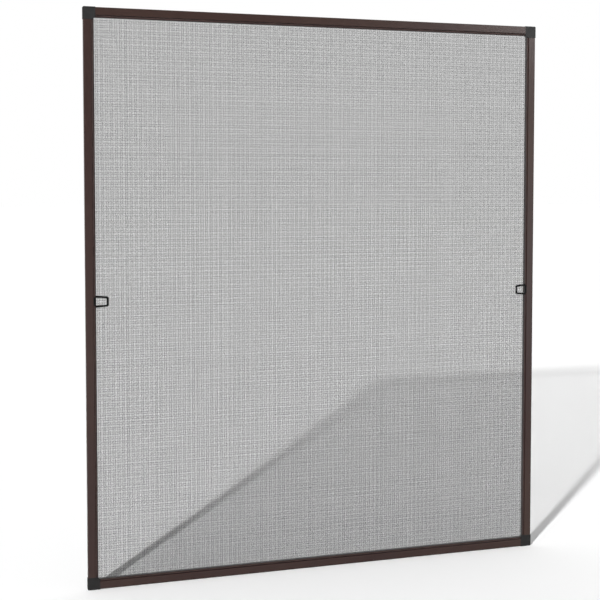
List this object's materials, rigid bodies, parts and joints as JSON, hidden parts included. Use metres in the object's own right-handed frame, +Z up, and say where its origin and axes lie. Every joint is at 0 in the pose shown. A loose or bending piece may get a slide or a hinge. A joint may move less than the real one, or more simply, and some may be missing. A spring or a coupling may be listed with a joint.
{
  "type": "window insect screen",
  "caption": "Framed window insect screen: brown metal profiles, black corner blocks, grey woven mesh held by a spline, side pull loops and rear hooks.",
  "frame": {"origin": "bottom centre of the whole screen, upright as in a window", "axes": "+X to the right seen from the front, +Y from front to back, +Z up"},
  "size_m": [1.2, 0.0242, 1.4],
  "materials": {
    "frame_brown": "satin powder coat",
    "corner_black": "fine matt moulding",
    "mesh_grey": "coated fibreglass weave",
    "spline_brown": "ribbed cord",
    "loop_black": "smooth moulding",
    "hook_steel": "zinc plated"
  },
  "bodies": {
    "root": {"left_stile": "frame_brown", "right_stile": "frame_brown", "top_rail": "frame_brown", "bottom_rail": "frame_brown", "corner_top_left": "corner_black", "corner_top_right": "corner_black", "corner_bottom_left": "corner_black", "corner_bottom_right": "corner_black", "insect_mesh": "mesh_grey", "spline_left": "spline_brown", "spline_right": "spline_brown", "spline_top": "spline_brown", "spline_bottom": "spline_brown", "pull_loop_left": "loop_black", "pull_loop_right": "loop_black", "hook_top_left": "hook_steel", "hook_top_right": "hook_steel", "hook_bottom_left": "hook_steel", "hook_bottom_right": "hook_steel", "hook_screws": "hook_steel"}
  },
  "joints": []
}
